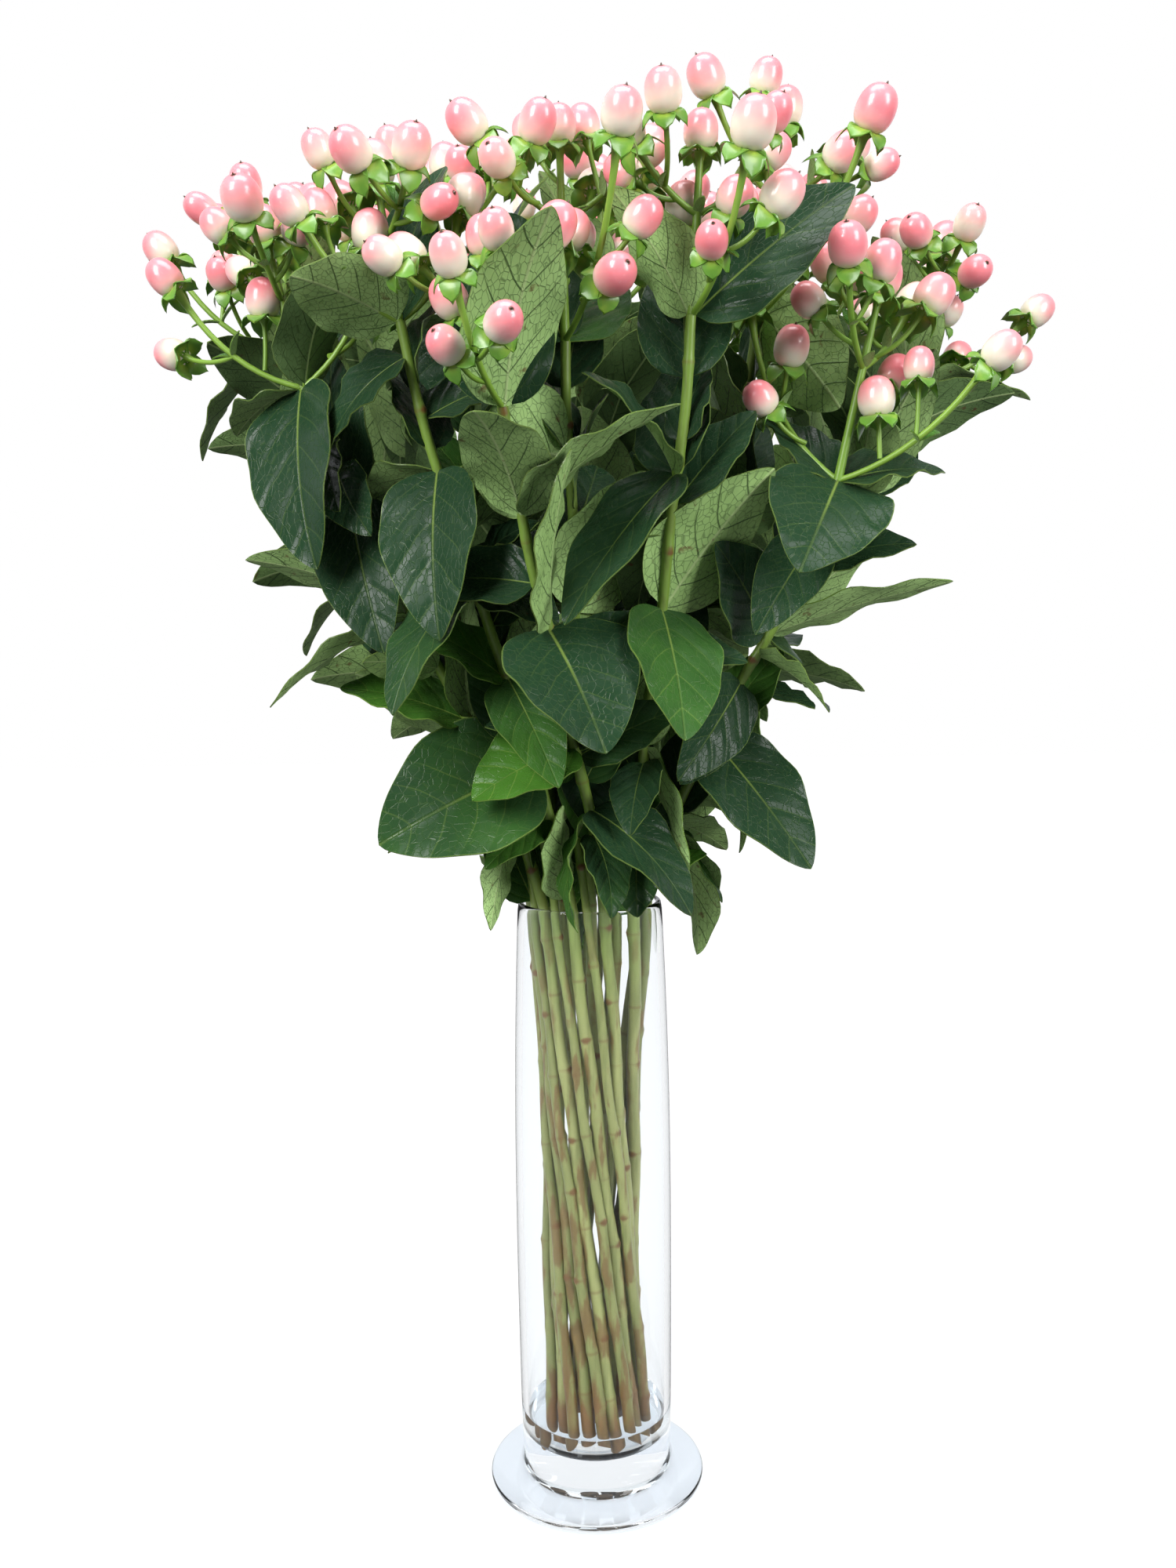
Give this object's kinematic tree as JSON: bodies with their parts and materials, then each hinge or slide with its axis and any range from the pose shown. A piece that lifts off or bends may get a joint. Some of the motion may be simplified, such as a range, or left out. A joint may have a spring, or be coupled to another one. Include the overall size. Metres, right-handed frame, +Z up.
{
  "type": "berry stems in vase",
  "caption": "Bunch of leafy hypericum stems with pink berries, standing in a tall footed glass vase of water.",
  "frame": {"origin": "centre of the vase's flat underside, on the surface that the vase stands on", "axes": "+Z up the vase's axis; -Y towards the side that the picture shows, +X to its right"},
  "size_m": [0.3837, 0.2983, 0.567],
  "materials": {
    "clear_glass": "clear, polished",
    "still_water": "clear",
    "leaf_green": "waxy upper face, matt grey-green underside",
    "stem_green": "satin, brownish rings at the nodes",
    "sepal_green": "satin",
    "berry_pink": "glossy, pink at the tip fading to cream at the base"
  },
  "bodies": {
    "root": {"vase": "clear_glass", "water": "still_water", "leafy_stem_01": "leaf_green", "leafy_stem_02": "leaf_green", "leafy_stem_03": "leaf_green", "leafy_stem_04": "leaf_green", "leafy_stem_05": "leaf_green", "leafy_stem_06": "leaf_green", "leafy_stem_07": "leaf_green", "leafy_stem_08": "leaf_green", "leafy_stem_09": "leaf_green", "leafy_stem_10": "leaf_green", "leafy_stem_11": "leaf_green", "leafy_stem_12": "leaf_green", "leafy_stem_13": "leaf_green", "leafy_stem_14": "leaf_green", "leafy_stem_15": "leaf_green", "short_stem_01": "stem_green", "short_stem_02": "stem_green", "short_stem_03": "stem_green", "short_stem_04": "stem_green", "short_stem_05": "stem_green", "short_stem_06": "stem_green", "short_stem_07": "stem_green"}
  },
  "joints": []
}
